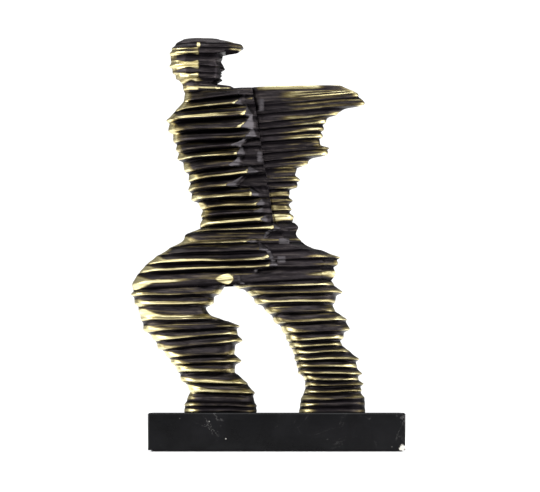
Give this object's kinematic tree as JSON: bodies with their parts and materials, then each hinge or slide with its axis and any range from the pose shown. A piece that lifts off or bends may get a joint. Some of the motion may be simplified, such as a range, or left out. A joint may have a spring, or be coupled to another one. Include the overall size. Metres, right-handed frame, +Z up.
{
  "type": "figure trophy",
  "caption": "Ridged cast-bronze figure in a flat peaked cap, knees bent and one arm held out, bolted to a black marble slab with a felt pad.",
  "frame": {"origin": "centre of the felt pad's underside", "axes": "+Z up, -Y the front that is shown, +X the way the figure faces and holds out its arm"},
  "size_m": [0.1791, 0.08, 0.2722],
  "materials": {
    "bronze": "dark patina, polished on the ridges",
    "marble": "polished black",
    "felt": "matt felt",
    "steel": "zinc plated"
  },
  "bodies": {
    "root": {"marble_base": "marble", "felt_pad": "felt", "left_leg_casting": "bronze", "right_leg_casting": "bronze", "pelvis_casting": "bronze", "torso_casting": "bronze", "arm_casting": "bronze", "head_casting": "bronze", "left_hip_dowel": "steel", "right_hip_dowel": "steel", "left_waist_dowel": "steel", "right_waist_dowel": "steel", "lower_arm_dowel": "steel", "upper_arm_dowel": "steel", "neck_dowel": "steel", "left_stud": "steel", "right_stud": "steel", "left_washer": "steel", "right_washer": "steel", "left_nut": "steel", "right_nut": "steel"}
  },
  "joints": []
}
